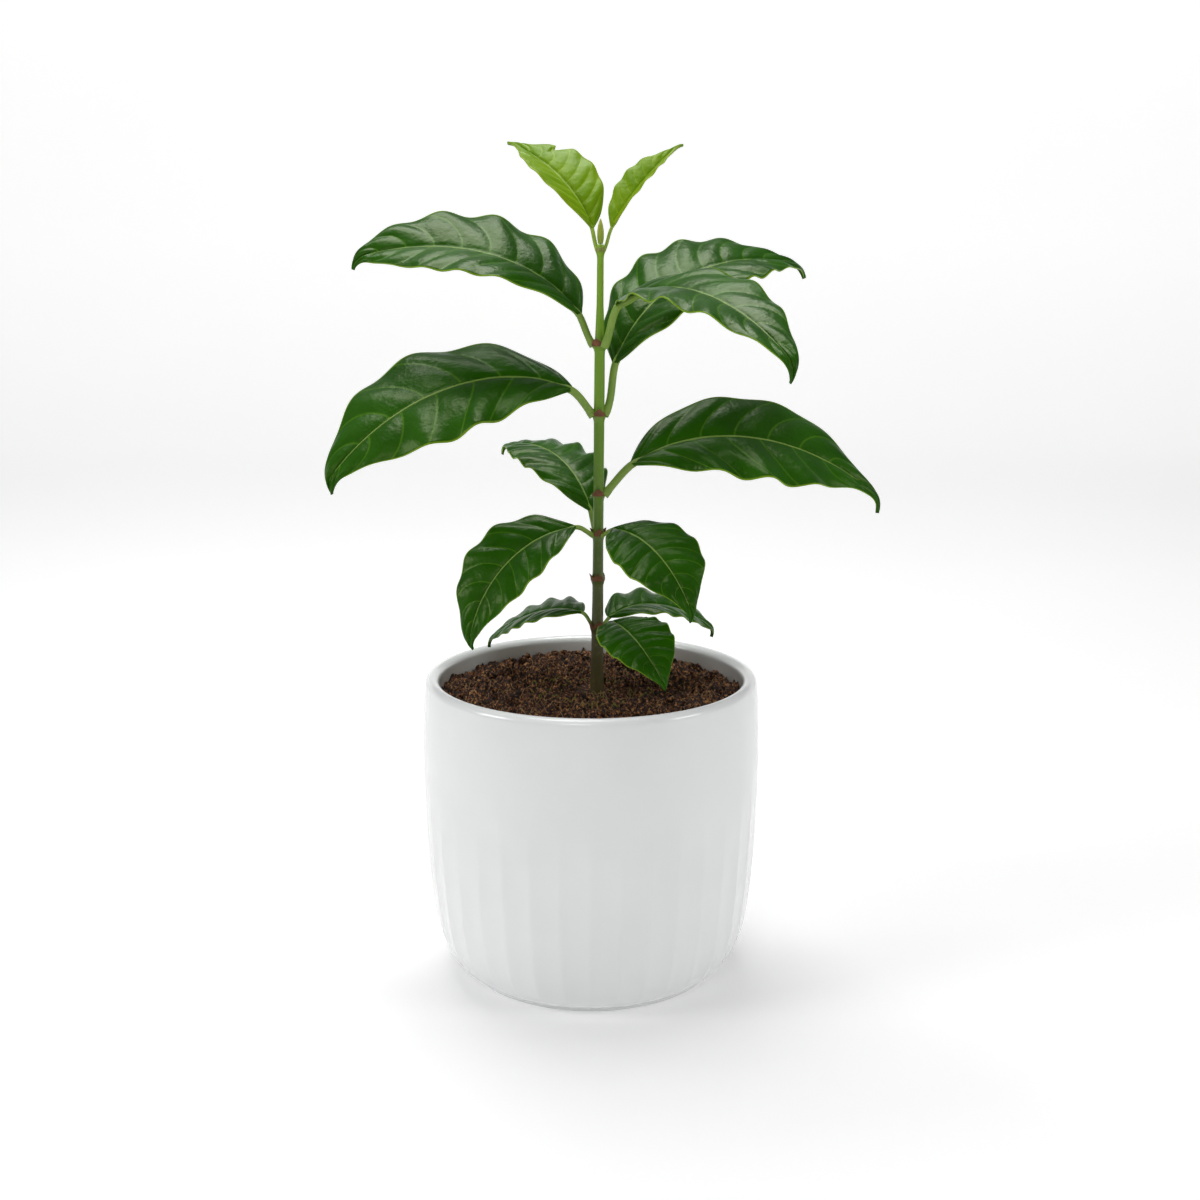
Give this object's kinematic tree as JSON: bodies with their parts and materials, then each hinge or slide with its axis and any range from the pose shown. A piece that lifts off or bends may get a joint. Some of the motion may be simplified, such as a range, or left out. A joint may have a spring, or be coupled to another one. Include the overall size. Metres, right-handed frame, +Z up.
{
  "type": "potted coffee plant",
  "caption": "Young coffee plant with an upright green stem and paired glossy leaves, growing in a round white glazed pot filled with potting mix.",
  "frame": {"origin": "the centre of the pot's flat underside, on the surface it stands on", "axes": "+Z up along the pot's axis and the stem, the plant's front faces -Y, +X to the viewer's right"},
  "size_m": [0.211, 0.1529, 0.3222],
  "materials": {
    "glaze": "smooth white gloss glaze",
    "potting_mix": "loose dark brown peat and coir",
    "stem": "green stem, darker and browner towards the soil",
    "young_leaf": "soft satin yellow-green young leaf",
    "leaf": "glossy dark green leaf"
  },
  "bodies": {
    "root": {"pot": "glaze", "soil": "potting_mix", "stem": "stem", "terminal_bud": "young_leaf", "leaf_crown_left": "young_leaf", "leaf_crown_right": "young_leaf", "leaf_upper_left": "leaf", "leaf_upper_front": "leaf", "leaf_middle_left": "leaf", "leaf_middle_right": "leaf", "leaf_side_right": "leaf", "leaf_lower_left": "leaf", "leaf_lower_front": "leaf", "leaf_lower_back": "leaf", "leaf_bottom_left": "leaf", "leaf_bottom_right": "leaf", "leaf_bottom_front": "leaf"}
  },
  "joints": []
}
